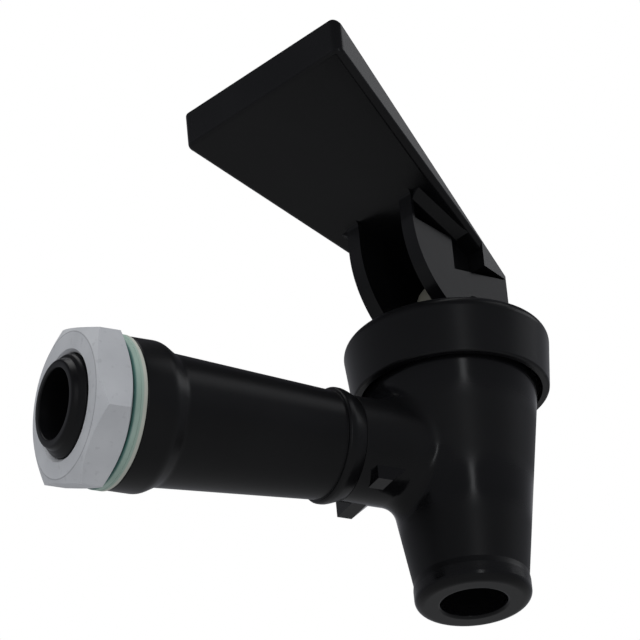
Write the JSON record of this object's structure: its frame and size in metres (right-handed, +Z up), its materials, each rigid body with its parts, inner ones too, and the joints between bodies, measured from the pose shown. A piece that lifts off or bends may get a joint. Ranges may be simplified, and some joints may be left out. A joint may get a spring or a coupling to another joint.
{
  "type": "beverage dispensing faucet",
  "caption": "Black plastic drink dispenser faucet: tapered spout, screw bonnet, wide pull lever, and a threaded shank with nut and sealing washers.",
  "frame": {"origin": "on the shank's axis, in the flange face that bears on the vessel wall", "axes": "+X along the shank away from the vessel to the spout, +Z up along the spout axis, +Y to the left when looking along +X"},
  "size_m": [0.084, 0.0416, 0.0828],
  "materials": {
    "black_plastic": "moulded, semi-gloss",
    "ivory_plastic": "smooth, ivory",
    "nut_metal": "plated, dull grey",
    "green_seal": "pale green, smooth",
    "cream_seal": "cream, smooth",
    "pin_steel": "drawn",
    "spring_steel": "drawn wire",
    "seat_silicone": "translucent white",
    "o_ring_rubber": "smooth black"
  },
  "bodies": {
    "faucet": {"faucet_body": "black_plastic", "shank": "black_plastic", "bonnet": "black_plastic", "hex_nut": "nut_metal", "green_washer": "green_seal", "cream_washer": "cream_seal", "seat_cup": "seat_silicone", "return_spring": "spring_steel", "shank_o_ring": "o_ring_rubber"},
    "spring_seat": {"spring_seat": "ivory_plastic"},
    "stem": {"stem": "ivory_plastic"},
    "lever": {"lever": "black_plastic", "lever_pin": "pin_steel"}
  },
  "joints": [
    {"name": "stem_lift", "type": "slide", "parent": "faucet", "child": "spring_seat", "axis": [0, 0, 1], "range_m": [0, 0.0032], "deforming": ["return_spring", "seat_cup"]},
    {"name": "lever_swivel", "type": "hinge", "parent": "spring_seat", "child": "stem", "pos_m": [0.0582, 0, 0], "axis": [0, 0, 1], "continuous": true},
    {"name": "lever_tilt", "type": "hinge", "parent": "stem", "child": "lever", "pos_m": [0.0582, 0, 0.0247], "axis": [-0.2571, 0.9664, 0], "range_deg": [0, 30], "stiffness_Nm_per_rad": 0.03}
  ],
  "couplings": [
    {"joint": "stem_lift", "follows": "lever_tilt", "m_per_rad": 0.0061}
  ]
}
